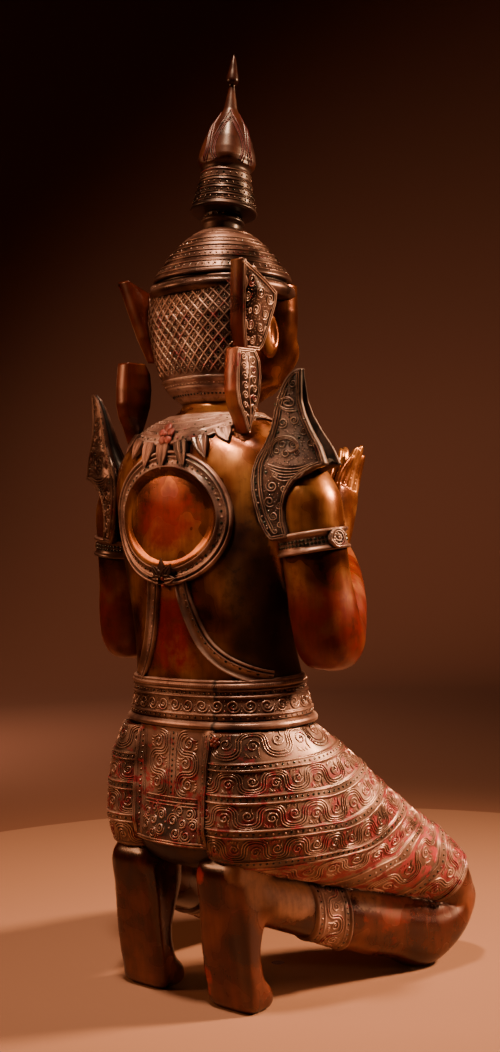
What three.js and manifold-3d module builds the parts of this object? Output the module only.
// A kneeling worshipper (theppanom) of carved, lacquered and gilded wood.
// Millimetres, +Z up. The figure looks along -Y and its left side is +X.
// The figure is modelled about the middle of its belt, and the last lines move
// it so that the origin lies on the floor under the middle of its outline.
import * as THREE from 'three';
import { mergeVertices } from 'three/addons/utils/BufferGeometryUtils.js';
import Module from 'manifold-3d';

const wasm = await Module();
wasm.setup();

// Driving dimensions
const MIDDLE_Y = 116;              // from the middle of the belt back to the outline's middle
const FIT = 0.3;                   // gap left round a piece let into the body
const BELT = { bottom: 394, top: 464 };
const COLLAR = { foot: 797, top: 846, raise: 5, rise: 0.0017 };   // "rise" curves its lower edge
const LEAF = { step: 33, eachSide: 3, wide: 14, long: 38, shorter: 3, raise: 5.5 };
const RING = { height: 694, halfWide: 101, halfHigh: 84, band: 21, raise: 6, facets: 30 };
const STRAP = { wide: 15, raise: 4, startX: 24, endX: 112, bend: 1.6 };
const FLOWER = { petals: 5, notch: 0.72 };
const RING_FLOWER = { above: 14, radius: 20, raise: 8 };
const COLLAR_FLOWER = { above: 12, radius: 17, raise: 9 };
const PANEL = { halfWide: 70, bottom: 222, top: 392, raise: 4 };
const HEAD = { y: -34, z: 1027, lean: 2 };         // middle of the headdress brim
const DOME_TOP = 97;               // height of the headdress dome over its brim
const CROWN = { high: 280, lean: 8 };              // the spire leans more than the head
const LEG = { x: 105, y: 20, turn: 14, square: 2.15 };   // each leg's plane turns outward
const BOARD = 24;                  // thickness of the boards at the ears
const SIDES = { torso: 24, head: 16, leg: 12, foot: 12, arm: 10, finger: 5, crown: 12 };

const COLOUR = { gilt: 0x8a4a1c, bronze: 0x7a5230, red: 0x6e1f10 };

const V = (x, y, z) => new THREE.Vector3(x, y, z);
const rad = THREE.MathUtils.degToRad;
const signedPower = (v, p) => Math.sign(v) * Math.abs(v) ** p;

// Reads one value off a table whose rows rise in "at", along a smooth curve
function readOff(table, key, at) {
  const last = table.length - 1;
  let i = 0;
  while (i < last - 1 && table[i + 1].at < at) i += 1;
  const slope = (a, b) => (table[b][key] - table[a][key]) / (table[b].at - table[a].at);
  const span = table[i + 1].at - table[i].at;
  const t = THREE.MathUtils.clamp((at - table[i].at) / span, 0, 1);
  const leave = slope(Math.max(i - 1, 0), i + 1) * span;
  const arrive = slope(i, Math.min(i + 2, last)) * span;
  const square = t * t;
  const cube = square * t;
  return (2 * cube - 3 * square + 1) * table[i][key] + (cube - 2 * square + t) * leave
    + (3 * square - 2 * cube) * table[i + 1][key] + (cube - square) * arrive;
}

// All values of a table's row at a place between its rows
function rowAt(table, at) {
  const keys = Object.keys(table[0]);
  return Object.fromEntries(keys.map((key) => [key, key === 'at' ? at : readOff(table, key, at)]));
}

// Straight-line reading, for mouldings with sharp edges: pairs of [place, height]
function stepsAt(pairs, at) {
  if (pairs.length === 0 || at <= pairs[0][0] || at >= pairs.at(-1)[0]) return 0;
  const i = pairs.findIndex(([place]) => place > at) - 1;
  const [[p, a], [q, b]] = [pairs[i], pairs[i + 1]];
  return a + ((b - a) * (at - p)) / (q - p);
}

const spaced = (from, to, count) => Array.from(
  { length: count },
  (_, i) => from + ((to - from) * i) / (count - 1),
);
const fullTurn = (count) => spaced(0, 2 * Math.PI, count + 1).slice(0, -1);

// Sorted places, with none nearer than "least" to the one before
function places(least, ...lists) {
  const all = lists.flat().sort((a, b) => a - b);
  return all.filter((v, i) => i === 0 || v - all[i - 1] > least);
}

// A closed solid through a row of rings with equal numbers of points
function loft(rings) {
  const n = rings[0].length;
  const points = rings.flat();
  const index = [];
  for (let r = 0; r < rings.length - 1; r += 1) {
    for (let i = 0; i < n; i += 1) {
      const a = r * n + i;
      const b = r * n + ((i + 1) % n);
      index.push(a, b, b + n, a, b + n, a + n);
    }
  }
  for (const [start, turned] of [[0, true], [(rings.length - 1) * n, false]]) {
    const ring = points.slice(start, start + n);
    const centre = ring.reduce((sum, p) => sum.add(p), V(0, 0, 0)).divideScalar(n);
    const c = points.push(centre) - 1;
    for (let i = 0; i < n; i += 1) {
      const a = start + i;
      const b = start + ((i + 1) % n);
      index.push(...(turned ? [c, b, a] : [c, a, b]));
    }
  }
  const geometry = new THREE.BufferGeometry().setFromPoints(points);
  geometry.setIndex(index);
  return geometry;
}

// Closed geometry to a solid, turned inside out where its faces point inward
function solid(geometry) {
  const bare = geometry.clone();
  bare.deleteAttribute('normal');
  bare.deleteAttribute('uv');
  const merged = mergeVertices(bare, 1e-4);
  const p = merged.attributes.position;
  const tris = Uint32Array.from(merged.index.array);
  let volume = 0;
  const [a, b, c] = [V(0, 0, 0), V(0, 0, 0), V(0, 0, 0)];
  for (let i = 0; i < tris.length; i += 3) {
    a.fromBufferAttribute(p, tris[i]);
    b.fromBufferAttribute(p, tris[i + 1]);
    c.fromBufferAttribute(p, tris[i + 2]);
    volume += a.dot(b.cross(c));
  }
  if (volume < 0) {
    for (let i = 0; i < tris.length; i += 3) [tris[i], tris[i + 1]] = [tris[i + 1], tris[i]];
  }
  return new wasm.Manifold(new wasm.Mesh({ numProp: 3, vertProperties: p.array, triVerts: tris }));
}

const joined = (solids) => solids.reduce((sum, s) => sum.add(s));
const flip = new THREE.Matrix4().makeScale(-1, 1, 1);
const mirrored = (geometry) => geometry.clone().applyMatrix4(flip);
const bothSides = (geometries) => geometries.flatMap((g) => [g, mirrored(g)]);

// One ring of a level section: half width, back and front, and how square it is
function levelRing(s, z, sides, grow = 0) {
  const mid = (s.back + s.front) / 2;
  const deep = (s.back - s.front) / 2 + grow;
  return fullTurn(sides).map((a) => V(
    (s.wide + grow) * signedPower(Math.cos(a), 2 / s.square),
    mid + deep * signedPower(Math.sin(a), 2 / s.square),
    z,
  ));
}

// One ring across a limb: "side" and "up" are its unit directions
function crossRing(centre, side, up, wide, deep, sides, square = 2) {
  return fullTurn(sides).map((a) => centre.clone()
    .addScaledVector(side, wide * signedPower(Math.cos(a), 2 / square))
    .addScaledVector(up, deep * signedPower(Math.sin(a), 2 / square)));
}

// A limb through its stations {x, y, z, wide, deep}, square to its own run
function limb(stations, sides, steps, across = V(1, 0, 0)) {
  const table = stations.map((s, i) => ({ ...s, at: i }));
  const point = (at) => V(readOff(table, 'x', at), readOff(table, 'y', at), readOff(table, 'z', at));
  const last = table.length - 1;
  return loft(spaced(0, last, steps).map((at) => {
    const run = point(Math.min(at + 0.05, last)).sub(point(Math.max(at - 0.05, 0))).normalize();
    const up = V(0, 0, 0).crossVectors(run, across).normalize();
    const side = V(0, 0, 0).crossVectors(up, run);
    const { wide, deep } = rowAt(table, at);
    return crossRing(point(at), side, up, wide, deep, sides);
  }));
}

// Torso and hips: level sections from the seat to the neck
const TORSO = [
  { at: 192, wide: 92, back: 84, front: -60, square: 2.3 },
  { at: 205, wide: 104, back: 106, front: -84, square: 2.3 },
  { at: 232, wide: 116, back: 121, front: -98, square: 2.3 },
  { at: 284, wide: 132, back: 113, front: -106, square: 2.3 },
  { at: 340, wide: 146, back: 107, front: -110, square: 2.3 },
  { at: 394, wide: 149, back: 101, front: -108, square: 2.3 },
  { at: 464, wide: 133, back: 97, front: -96, square: 2.3 },
  { at: 505, wide: 130, back: 98, front: -86, square: 2.3 },
  { at: 560, wide: 135, back: 100, front: -84, square: 2.3 },
  { at: 620, wide: 148, back: 101, front: -96, square: 2.4 },
  { at: 690, wide: 167, back: 101, front: -116, square: 2.4 },
  { at: 745, wide: 176, back: 98, front: -112, square: 2.4 },
  { at: 785, wide: 160, back: 93, front: -98, square: 2.3 },
  { at: 812, wide: 128, back: 86, front: -86, square: 2.2 },
  { at: 832, wide: 96, back: 72, front: -76, square: 2.1 },
  { at: 846, wide: 68, back: 48, front: -74, square: 2 },
  { at: 858, wide: 56, back: 36, front: -76, square: 2 },
  { at: 885, wide: 53, back: 32, front: -80, square: 2 },
  { at: 915, wide: 52, back: 30, front: -84, square: 2 },
];

// The belt's mouldings: height over the skin at each level
const BELT_STEPS = [
  [BELT.bottom, 0], [396, 9], [406, 9], [410, 3], [418, 6], [437, 6], [446, 2], [450, 8], [461, 8],
  [BELT.top, 0],
];

function torso() {
  const levels = places(1.5, TORSO.map((s) => s.at), BELT_STEPS.map(([z]) => z), [720]);
  return loft(levels.map((z) => levelRing(rowAt(TORSO, z), z, SIDES.torso, stepsAt(BELT_STEPS, z))));
}

// Depth of the back's surface at a place on it
function backAt(x, z) {
  const s = rowAt(TORSO, z);
  const away = Math.min(Math.abs(x) / s.wide, 0.98);
  return (s.back + s.front) / 2 + ((s.back - s.front) / 2) * (1 - away ** s.square) ** (1 / s.square);
}

// Direction out of the back's surface
function outAt(x, z) {
  const d = 2;
  const slopeX = (backAt(x + d, z) - backAt(x - d, z)) / (2 * d);
  const slopeZ = (backAt(x, z + d) - backAt(x, z - d)) / (2 * d);
  return V(-slopeX, 1, -slopeZ).normalize();
}

// A raised band that follows places [x, z] on the back
function backBand(route, wide, raise, closed) {
  const sink = 7;
  const rings = route.map(([x, z], i) => {
    const last = route.length - 1;
    const before = route[closed ? (i + last) % (last + 1) : Math.max(i - 1, 0)];
    const after = route[closed ? (i + 1) % (last + 1) : Math.min(i + 1, last)];
    const p = V(x, backAt(x, z), z);
    const out = outAt(x, z);
    const run = V(after[0] - before[0], 0, after[1] - before[1]).normalize();
    const side = V(0, 0, 0).crossVectors(out, run).normalize();
    const corner = (s, h) => p.clone().addScaledVector(side, (s * wide) / 2).addScaledVector(out, h);
    return [corner(1, -sink), corner(0.9, raise), corner(-0.9, raise), corner(-1, -sink)];
  });
  return closed ? hoop(rings) : loft(rings);
}

// A closed loop of rings, without ends
function hoop(rings) {
  const n = rings[0].length;
  const index = [];
  for (let r = 0; r < rings.length; r += 1) {
    const next = (r + 1) % rings.length;
    for (let i = 0; i < n; i += 1) {
      const j = (i + 1) % n;
      index.push(r * n + i, r * n + j, next * n + j, r * n + i, next * n + j, next * n + i);
    }
  }
  const geometry = new THREE.BufferGeometry().setFromPoints(rings.flat());
  geometry.setIndex(index);
  return geometry;
}

// The round band on the back
function backRing() {
  const route = fullTurn(RING.facets).map((a) => [
    RING.halfWide * Math.cos(a),
    RING.height + RING.halfHigh * Math.sin(a),
  ]);
  return backBand(route, RING.band, RING.raise, true);
}

// Two straps run from the foot of the ring, apart and down to the belt
function backStraps() {
  const top = RING.height - RING.halfHigh - 4;
  const foot = BELT.top + 4;
  const route = spaced(0, 1, 8).map((t) => [
    STRAP.startX + (STRAP.endX - STRAP.startX) * t ** STRAP.bend,
    top + (foot - top) * t,
  ]);
  return bothSides([backBand(route, STRAP.wide, STRAP.raise, false)]);
}

// A small flower lying on the back
function flower(x, z, radius, raise) {
  const out = outAt(x, z);
  const centre = V(x, backAt(x, z), z);
  const side = V(1, 0, 0).addScaledVector(out, -out.x).normalize();
  const up = V(0, 0, 0).crossVectors(side, out).normalize();
  const ring = (r, h) => fullTurn(FLOWER.petals * 2).map((a, i) => {
    const lobed = i % 2 === 0 ? r : r * FLOWER.notch;
    return centre.clone()
      .addScaledVector(side, lobed * Math.sin(a))
      .addScaledVector(up, lobed * Math.cos(a))
      .addScaledVector(out, h);
  });
  return loft([ring(radius * 0.9, -6), ring(radius, raise * 0.5), ring(radius * 0.5, raise)]);
}

// The collar lies on the shoulders and is lowest at the middle of the back
const collarFoot = (x) => COLLAR.foot + COLLAR.rise * x * x;

function collar() {
  const ring = (share, grow) => {
    const flat = levelRing(rowAt(TORSO, COLLAR.foot), 0, SIDES.torso);
    return flat.map((p, i) => {
      const z = collarFoot(p.x) + (COLLAR.top - collarFoot(p.x)) * share;
      return levelRing(rowAt(TORSO, z), z, SIDES.torso, grow)[i];
    });
  };
  const r = COLLAR.raise;
  return loft([ring(0, -9), ring(0, r + 1), ring(0.2, r), ring(0.8, r), ring(1, r + 1), ring(1, -9)]);
}

// Pointed leaves hang from the collar: a row at the back and three in front
function collarLeaves() {
  const { step, eachSide, wide, raise } = LEAF;
  return spaced(-eachSide, eachSide, 2 * eachSide + 1).flatMap((k) => {
    const x = k * step;
    const top = collarFoot(x) + 4;
    const long = LEAF.long - LEAF.shorter * Math.abs(k);
    return [true, false].filter((atBack) => atBack || Math.abs(k) < 2).map((atBack) => {
      const place = (u, z, h) => {
        const s = rowAt(TORSO, z);
        const away = Math.min(Math.abs(u) / s.wide, 0.97);
        const deep = ((s.back - s.front) / 2 + h) * (1 - away ** s.square) ** (1 / s.square);
        return V(u, (s.back + s.front) / 2 + (atBack ? deep : -deep), z);
      };
      const ring = (h, share) => [
        place(x - wide * share, top, h),
        place(x - wide * share, top - long * 0.35, h),
        place(x, top - long * (0.4 + 0.6 * share), h),
        place(x + wide * share, top - long * 0.35, h),
        place(x + wide * share, top, h),
      ];
      return loft([ring(-8, 0.9), ring(raise - 3.5, 1), ring(raise, 0.45)]);
    });
  });
}

// The back panel of the skirt hangs from the belt to the seat
function backPanel() {
  const levels = [PANEL.bottom, 240, 284, 340, PANEL.top];
  const across = [-1, -0.82, -0.4, 0, 0.4, 0.82, 1];
  const heights = [1.5, 1, 1, 1, 1, 1, 1.5];
  return loft(levels.map((z) => {
    const outer = across.map((u, i) => {
      const x = u * PANEL.halfWide;
      return V(x, backAt(x, z) + PANEL.raise * heights[i], z);
    });
    return [...outer, V(PANEL.halfWide, 60, z), V(-PANEL.halfWide, 60, z)];
  }));
}

// Leg plane: "s" runs forward and outward from the hip, z stays level
const legForward = V(Math.sin(rad(LEG.turn)), -Math.cos(rad(LEG.turn)), 0);
const legSide = V(Math.cos(rad(LEG.turn)), Math.sin(rad(LEG.turn)), 0);
const legPoint = (s, z, side = 0) => V(LEG.x, LEG.y, z)
  .addScaledVector(legForward, s)
  .addScaledVector(legSide, side);

// The skirted thigh: each section goes from the front or top edge (s, z) to the
// back or lower edge (t, w), and the sections fan out from level to upright
const THIGH = [
  { at: 0, s: 64, z: 402, t: -78, w: 402, wide: 46, side: -14 },
  { at: 1, s: 96, z: 384, t: -84, w: 376, wide: 60, side: -12 },
  { at: 2, s: 146, z: 348, t: -90, w: 346, wide: 72, side: -6 },
  { at: 3, s: 196, z: 302, t: -96, w: 304, wide: 79, side: -2 },
  { at: 4, s: 243, z: 261, t: -99, w: 258, wide: 83, side: 0 },
  { at: 5, s: 275, z: 234, t: -84, w: 216, wide: 82, side: 0 },
  { at: 6, s: 293, z: 219, t: -20, w: 190, wide: 79, side: 0 },
  { at: 7, s: 305, z: 208, t: 94, w: 154, wide: 74, side: 0 },
  { at: 8, s: 326, z: 188, t: 218, w: 118, wide: 67, side: 0 },
  { at: 9, s: 345, z: 168, t: 282, w: 94, wide: 61, side: 0 },
  { at: 10, s: 360, z: 142, t: 306, w: 74, wide: 55, side: 0 },
  { at: 11, s: 369, z: 120, t: 330, w: 64, wide: 43, side: 0 },
  { at: 12, s: 372, z: 104, t: 355, w: 78, wide: 20, side: 0 },
];

// Raised bands on the skirt, at the sections named above, and the hem
const SKIRT_BANDS = [2, 3, 4, 5, 7, 8];
const HEM = 8.9;
const BAND_HALF = 0.14;

function skirtHeight(at) {
  if (at > HEM + BAND_HALF) return 0;
  const cloth = 3;
  const ridge = 3.5;
  const nearest = Math.min(...[...SKIRT_BANDS, HEM].map((b) => Math.abs(at - b)));
  return cloth + ridge * Math.max(0, 1 - nearest / BAND_HALF);
}

function thigh() {
  const bands = [...SKIRT_BANDS, HEM].flatMap((b) => [b - BAND_HALF, b, b + BAND_HALF]);
  const stations = THIGH.map((r) => r.at).filter((v) => v !== 9);
  const all = places(0.008, stations, bands, [HEM + BAND_HALF + 0.01, 9.5]);
  return loft(all.map((at) => {
    const r = rowAt(THIGH, at);
    const front = legPoint(r.s, r.z, r.side);
    const back = legPoint(r.t, r.w, r.side);
    const up = front.clone().sub(back);
    const half = up.length() / 2;
    up.normalize();
    const grow = skirtHeight(at);
    const centre = front.add(back).multiplyScalar(0.5);
    return crossRing(centre, legSide, up, r.wide + grow, half + grow, SIDES.leg, LEG.square);
  }));
}

// The lower leg: top and bottom edges along the leg plane, from ankle to knee
const SHIN = [
  { at: -30, top: 190, bottom: 116, wide: 34 },
  { at: 0, top: 186, bottom: 104, wide: 38 },
  { at: 71, top: 164, bottom: 74, wide: 41 },
  { at: 146, top: 148, bottom: 42, wide: 44 },
  { at: 214, top: 130, bottom: 18, wide: 48 },
  { at: 253, top: 122, bottom: -2, wide: 51 },
  { at: 280, top: 116, bottom: -4, wide: 53 },
  { at: 308, top: 116, bottom: 8, wide: 54 },
  { at: 334, top: 122, bottom: 28, wide: 53 },
  { at: 357, top: 128, bottom: 54, wide: 44 },
  { at: 370, top: 118, bottom: 74, wide: 32 },
  { at: 376, top: 104, bottom: 88, wide: 14 },
];
const ANKLET = [[90, 0], [93, 4], [100, 2.5], [160, 2.5], [167, 4], [170, 0]];

function shin() {
  const all = places(1.5, SHIN.map((s) => s.at), ANKLET.map(([s]) => s));
  return loft(all.map((s) => {
    const r = rowAt(SHIN, s);
    const grow = stepsAt(ANKLET, s);
    const centre = legPoint(s, (r.top + r.bottom) / 2);
    const deep = (r.top - r.bottom) / 2 + grow;
    return crossRing(centre, legSide, V(0, 0, 1), r.wide + grow, deep, SIDES.leg, LEG.square);
  }));
}

// The foot stands on its toes, with its sole facing back
const FOOT = [
  { at: 0, half: 38, sole: 82, front: 40 },
  { at: 8, half: 44, sole: 89, front: 32 },
  { at: 26, half: 45, sole: 91, front: 34 },
  { at: 46, half: 46, sole: 93, front: 52 },
  { at: 90, half: 46, sole: 98, front: 58 },
  { at: 150, half: 46, sole: 104, front: 34 },
  { at: 190, half: 45, sole: 108, front: 30 },
  { at: 208, half: 40, sole: 108, front: 44 },
  { at: 218, half: 27, sole: 98, front: 66 },
];
const FOOT_PLACE = { x: 87, shift: 6, square: 4.5 };   // both stand a little to the left

function foot() {
  const shape = loft(FOOT.map((r) => {
    const s = { wide: r.half, back: r.sole, front: r.front, square: FOOT_PLACE.square };
    return levelRing(s, r.at, SIDES.foot);
  }));
  const place = (side) => side * FOOT_PLACE.x + FOOT_PLACE.shift;
  return [-1, 1].map((side) => shape.clone().translate(place(side), 0, 0));
}

// Cuts off all that would reach below the floor
function floorBlock() {
  const wide = 900;
  const deep = 100;
  return new THREE.BoxGeometry(wide, wide, deep).translate(0, 0, -deep / 2);
}

// Arms: upper arm down to the elbow, forearm up to the joined hands
const UPPER_ARM = [
  { x: 160, y: 4, z: 756, wide: 16, deep: 26 },
  { x: 182, y: 2, z: 744, wide: 30, deep: 38 },
  { x: 190, y: -1, z: 712, wide: 45, deep: 47 },
  { x: 193, y: -4, z: 660, wide: 46, deep: 47 },
  { x: 197, y: -9, z: 600, wide: 46, deep: 46 },
  { x: 202, y: -15, z: 548, wide: 48, deep: 49 },
  { x: 205, y: -22, z: 508, wide: 46, deep: 48 },
  { x: 206, y: -28, z: 484, wide: 32, deep: 34 },
  { x: 206, y: -29, z: 474, wide: 12, deep: 14 },
];
const FOREARM = [
  { x: 214, y: -10, z: 505, wide: 26, deep: 26 },
  { x: 206, y: -28, z: 514, wide: 42, deep: 42 },
  { x: 184, y: -58, z: 528, wide: 44, deep: 46 },
  { x: 142, y: -118, z: 560, wide: 41, deep: 43 },
  { x: 92, y: -184, z: 592, wide: 34, deep: 35 },
  { x: 48, y: -240, z: 617, wide: 27, deep: 29 },
  { x: 20, y: -272, z: 636, wide: 21, deep: 27 },
];
const ARMBAND = { low: 634, high: 664, raise: 5, x: 193, y: -4, wide: 46 };

function armband() {
  const { low, high, raise, x, y, wide } = ARMBAND;
  const [across, away] = [V(1, 0, 0), V(0, 1, 0)];
  const ring = (z, grow) => crossRing(V(x, y, z), across, away, wide + grow, wide + 1 + grow, SIDES.arm);
  const sunk = -12;
  const lip = 9;
  return loft([
    ring(low, sunk), ring(low, raise), ring(low + lip, raise - 2),
    ring(high - lip, raise - 2), ring(high, raise), ring(high, sunk),
  ]);
}

// Hands laid palm to palm, their finger tips bent a little apart
const HAND = { wristY: -272, wristZ: 634, lean: 22, palm: 100, fingers: [78, 90, 84, 66], width: 15.5 };
// Sections of the palm and the thumb: [x, up, across, half thick, half wide]
const PALM = [
  [14, -14, 0, 14, 24], [13, 12, 0, 14, 28], [11.5, 50, -1, 13, 34], [10.5, HAND.palm, 0, 11, 32],
  [10, HAND.palm + 10, 0, 8, 28],
];
const THUMB = [[9, 34, -30, 9, 10], [8, 62, -38, 8, 9], [8, 88, -38, 7, 8], [8.5, 104, -34, 4, 5]];

function hand() {
  const along = V(0, -Math.sin(rad(HAND.lean)), Math.cos(rad(HAND.lean)));
  const broad = V(0, -along.z, along.y);
  const at = (x, up, across) => V(x, HAND.wristY, HAND.wristZ)
    .addScaledVector(along, up)
    .addScaledVector(broad, across);
  const stick = (rows, sides) => loft(rows.map(([x, up, across, thick, wide]) => crossRing(
    at(x, up, across), V(1, 0, 0), broad, thick, wide, sides, 2.3,
  )));
  const fingers = HAND.fingers.map((long, i) => {
    const across = (1.5 - i) * HAND.width;
    const tip = across * 0.62 + 3;
    const root = HAND.palm - 12;
    return stick([
      [9, root, across, 7, 8],
      [9, root + long * 0.6, across * 0.86 + 1, 7, 8],
      [14, root + long * 1.02, tip, 5.5, 6.5],
      [18, root + long * 1.14, tip, 2, 3],
    ], SIDES.finger);
  });
  return [stick(PALM, SIDES.arm), ...fingers, stick(THUMB, SIDES.finger)];
}

// Head, in its own leaning frame with the middle of the brim as origin
const headFrame = new THREE.Matrix4().makeTranslation(0, HEAD.y, HEAD.z)
  .multiply(new THREE.Matrix4().makeRotationX(rad(HEAD.lean)));

const FACE = [
  { at: -165, wide: 44, back: 50, front: -56, square: 2 },
  { at: -146, wide: 44, back: 60, front: -92, square: 2 },
  { at: -132, wide: 58, back: 72, front: -102, square: 2 },
  { at: -104, wide: 74, back: 90, front: -106, square: 2.1 },
  { at: -68, wide: 84, back: 98, front: -106, square: 2.2 },
  { at: -30, wide: 89, back: 102, front: -104, square: 2.2 },
  { at: 14, wide: 90, back: 102, front: -100, square: 2.2 },
];
const NOSE = [
  { at: -82, wide: 15, front: -109 },
  { at: -76, wide: 16, front: -116 },
  { at: -66, wide: 11, front: -115 },
  { at: -32, wide: 7, front: -107 },
];
const HOOD = [
  { at: -168, wide: 42, back: 62, front: -8, square: 2 },
  { at: -152, wide: 60, back: 76, front: -8, square: 2.1 },
  { at: -124, wide: 76, back: 88, front: -8, square: 2.1 },
  { at: -82, wide: 88, back: 96, front: -8, square: 2.1 },
  { at: -38, wide: 95, back: 100, front: -8, square: 2.1 },
  { at: 12, wide: 97, back: 101, front: -8, square: 2.1 },
];
const HOOD_STEPS = [[-169, 0], [-166, 3], [-156, 3], [-148, 1], [-144, 4], [-139, 4], [-136, 0]];
// Radius of the headdress dome at each height over the brim
const DOME = [
  [0, -12], [95, -12], [110, -4], [110, 6], [100, 14], [102, 21], [97, 38], [93, 39], [81, 64], [78, 64],
  [69, 78], [58, 87], [45, DOME_TOP], [0, DOME_TOP],
];

function lathe(profile, sides) {
  const shape = profile.map(([r, h]) => new THREE.Vector2(r, h));
  return new THREE.LatheGeometry(shape, sides).rotateX(Math.PI / 2);
}

function headParts() {
  const level = (table, steps) => {
    const edges = steps.map(([h]) => h).filter((h) => h > table[0].at);
    const all = places(1.5, table.map((s) => s.at), edges);
    return loft(all.map((h) => levelRing(rowAt(table, h), h, SIDES.head, stepsAt(steps, h))));
  };
  const ball = (x, y, z, wide, deep, high) => new THREE.SphereGeometry(1, 6, 4)
    .scale(wide, deep, high)
    .translate(x, y, z);
  const nose = loft(NOSE.map((s) => levelRing({ ...s, back: -90, square: 1.6 }, s.at, 6)));
  const lips = [ball(0, -104, -100, 20, 6, 4), ball(0, -103, -108, 16, 6, 4)];
  const paired = [-1, 1].flatMap((side) => [
    ball(side * 31, -98, -50, 15, 5, 5),
    ball(side * 31, -98, -31, 20, 5, 3),
    ball(side * 85, -6, -74, 9, 17, 38),
  ]);
  const parts = [
    level(FACE, []), level(HOOD, HOOD_STEPS), nose, ...lips, ...paired, lathe(DOME, SIDES.head),
  ];
  return parts.map((g) => g.applyMatrix4(headFrame));
}

// The crown's spire: neck, rim, stepped drum, petalled bulb, needle and tip bead,
// as radius and height over the dome
const SPIRE = [
  [0, -6], [29, -6], [29, 10], [33, 13], [29, 17], [29, 26], [48, 27], [50, 34], [50, 41], [46, 45], [45, 56],
  [42, 58], [42, 70], [39, 72], [38, 88], [35, 93], [41, 99], [43, 108], [41, 122], [35, 142], [26, 162],
  [17, 178], [11, 190], [8, 206], [5, 222], [4.5, 230], [9, 235], [8.5, 244], [5, 264], [0, CROWN.high],
];
const BULB = { low: 98, high: 188, petals: 8, depth: 0.05 };
const crownFrame = headFrame.clone().multiply(new THREE.Matrix4().makeTranslation(0, 0, DOME_TOP))
  .multiply(new THREE.Matrix4().makeRotationX(rad(CROWN.lean - HEAD.lean)));

function crown(grow = 0) {
  const geometry = lathe(SPIRE.map(([r, h]) => [r > 0 ? r + grow : 0, h]), SIDES.crown);
  const p = geometry.attributes.position;
  for (let i = 0; i < p.count; i += 1) {
    const inside = p.getZ(i) > BULB.low && p.getZ(i) < BULB.high;
    const k = inside ? 1 + BULB.depth * Math.cos(BULB.petals * Math.atan2(p.getY(i), p.getX(i))) : 1;
    p.setXY(i, p.getX(i) * k, p.getY(i) * k);
  }
  return geometry.applyMatrix4(crownFrame);
}

// A board from an outline in its own plane, with a chamfered edge on its outer face
function board(outline, thick, chamfer, grow = 0) {
  const shape = new THREE.Shape(outline.map(([u, z]) => new THREE.Vector2(u, z)));
  const bevel = chamfer + grow;
  const geometry = new THREE.ExtrudeGeometry(shape, {
    depth: thick - 2 * chamfer, bevelEnabled: bevel > 0, bevelThickness: bevel, bevelSize: bevel,
    bevelOffset: -chamfer, bevelSegments: 1, curveSegments: 4, steps: 1,
  });
  return geometry.translate(0, 0, chamfer);
}

// Ear wing: outline as [y, z] on its outer face; it leans outward and back
const WING = [
  [32, 930], [45, 968], [54, 1010], [62, 1054], [45, 1047], [25, 1039], [1, 1028], [-21, 1016], [-22, 998],
  [-17, 976], [-14, 958], [-8, 938], [-1, 930],
];
const WING_LEAN = { x: 98, z: 930, slope: 0.236 };

function earWing(grow = 0) {
  const geometry = board(WING, BOARD, 2, grow);
  const p = geometry.attributes.position;
  for (let i = 0; i < p.count; i += 1) {
    const [y, z, depth] = [p.getX(i), p.getY(i), p.getZ(i)];
    const x = WING_LEAN.x + (z - WING_LEAN.z) * WING_LEAN.slope - BOARD + depth;
    p.setXYZ(i, x, y, z);
  }
  return geometry;
}

// Ear pendant: a flat-topped board that narrows to a point on the shoulder
const PENDANT = [
  [72, 929], [36, 929], [26, 914], [24, 890], [28, 864], [38, 840], [48, 820], [51, 808], [56, 808],
  [65, 832], [74, 848], [78, 868], [77, 892],
];

function earPendant(grow = 0) {
  const geometry = board(PENDANT, BOARD, 2, grow);
  const p = geometry.attributes.position;
  for (let i = 0; i < p.count; i += 1) p.setXYZ(i, 122 - BOARD + p.getZ(i), p.getX(i), p.getY(i));
  return geometry;
}

// Shoulder flare: outline as [distance from the middle, z] seen from behind
const FLARE = [
  [212, 892], [201, 891], [190, 881], [182, 867], [176, 851], [170, 830], [165, 810], [155, 790], [145, 776],
  [138, 759], [135, 742], [135, 728], [139, 707], [145, 684], [153, 667], [161, 657], [187, 661], [182, 683],
  [182, 702], [186, 720], [194, 735], [207, 746], [223, 754], [240, 759], [233, 784], [222, 807], [214, 828],
  [210, 848], [211, 882],
];
const FLARE_FACE = { y: 45, x: 212, slope: 0.33, thin: 15, thick: 42, thinAt: 885, thickAt: 755 };

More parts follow.
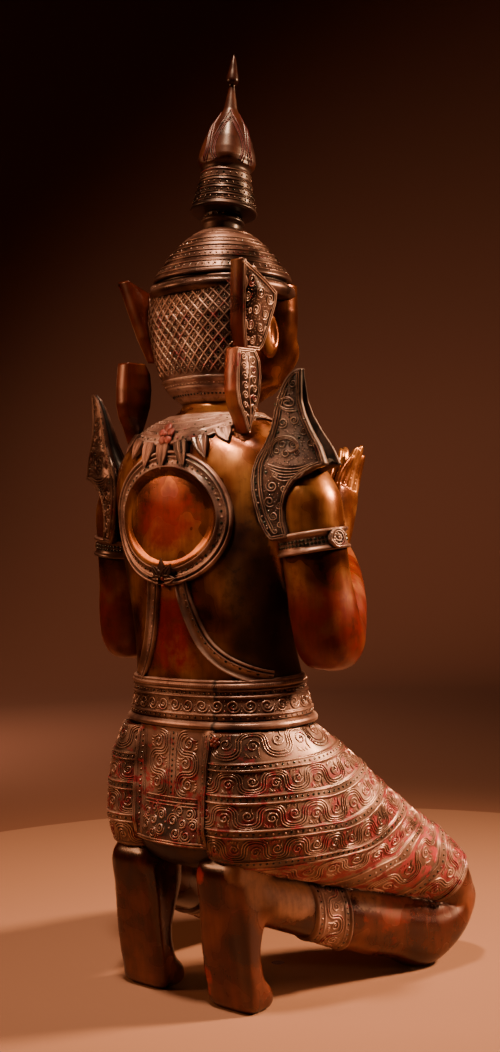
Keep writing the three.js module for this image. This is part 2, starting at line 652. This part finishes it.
function shoulderFlare(grow = 0) {
  const geometry = board(FLARE, 1, 0, grow);
  const f = FLARE_FACE;
  const p = geometry.attributes.position;
  for (let i = 0; i < p.count; i += 1) {
    const [u, z, depth] = [p.getX(i), p.getY(i), p.getZ(i)];
    const share = THREE.MathUtils.clamp((f.thinAt - z) / (f.thinAt - f.thickAt), 0, 1);
    const thick = f.thin + (f.thick - f.thin) * share;
    const within = THREE.MathUtils.clamp(depth, 0, 1);
    p.setXYZ(i, u, f.y + (f.x - u) * f.slope - thick * (1 - within) + (depth - within), z);
  }
  return geometry;
}

// The body is one carved block: all its forms joined, the lodged pieces cut out
function bodySolid() {
  const limbs = bothSides([
    thigh(), shin(), limb(UPPER_ARM, SIDES.arm, 10), limb(FOREARM, SIDES.arm, 7), armband(), ...hand(),
  ]);
  const ringFoot = RING.height - RING.halfHigh;
  const forms = [
    torso(), ...limbs, ...foot(), ...headParts(), collar(), ...collarLeaves(), backRing(), ...backStraps(),
    flower(0, ringFoot + RING_FLOWER.above, RING_FLOWER.radius, RING_FLOWER.raise),
    flower(0, COLLAR.foot + COLLAR_FLOWER.above, COLLAR_FLOWER.radius, COLLAR_FLOWER.raise),
    backPanel(),
  ];
  const lodged = [crown(FIT), ...bothSides([earWing(FIT), earPendant(FIT), shoulderFlare(FIT)])];
  const whole = joined(forms.map(solid)).subtract(joined([floorBlock(), ...lodged].map(solid)));
  return whole.decompose().sort((a, b) => b.volume() - a.volume())[0];
}

function geometryOf(manifold) {
  const { vertProperties, triVerts } = manifold.getMesh();
  const geometry = new THREE.BufferGeometry();
  geometry.setAttribute('position', new THREE.BufferAttribute(vertProperties, 3));
  geometry.setIndex(new THREE.BufferAttribute(triVerts, 1));
  geometry.computeVertexNormals();
  return geometry;
}

function piece(name, manifold, colour) {
  const material = new THREE.MeshStandardMaterial({ color: colour, roughness: 0.45, metalness: 0.35 });
  const mesh = new THREE.Mesh(geometryOf(manifold), material);
  mesh.name = name;
  return mesh;
}

const PAIRS = {
  ear_wing: [earWing, COLOUR.red],
  ear_pendant: [earPendant, COLOUR.red],
  shoulder_flare: [shoulderFlare, COLOUR.bronze],
};

const statue = new THREE.Group();
statue.add(piece('body', bodySolid(), COLOUR.gilt), piece('crown_finial', solid(crown()), COLOUR.bronze));
for (const [name, [make, colour]] of Object.entries(PAIRS)) {
  statue.add(piece(`${name}_left`, solid(make()), colour));
  statue.add(piece(`${name}_right`, solid(mirrored(make())), colour));
}
statue.position.y = MIDDLE_Y;

export default statue;
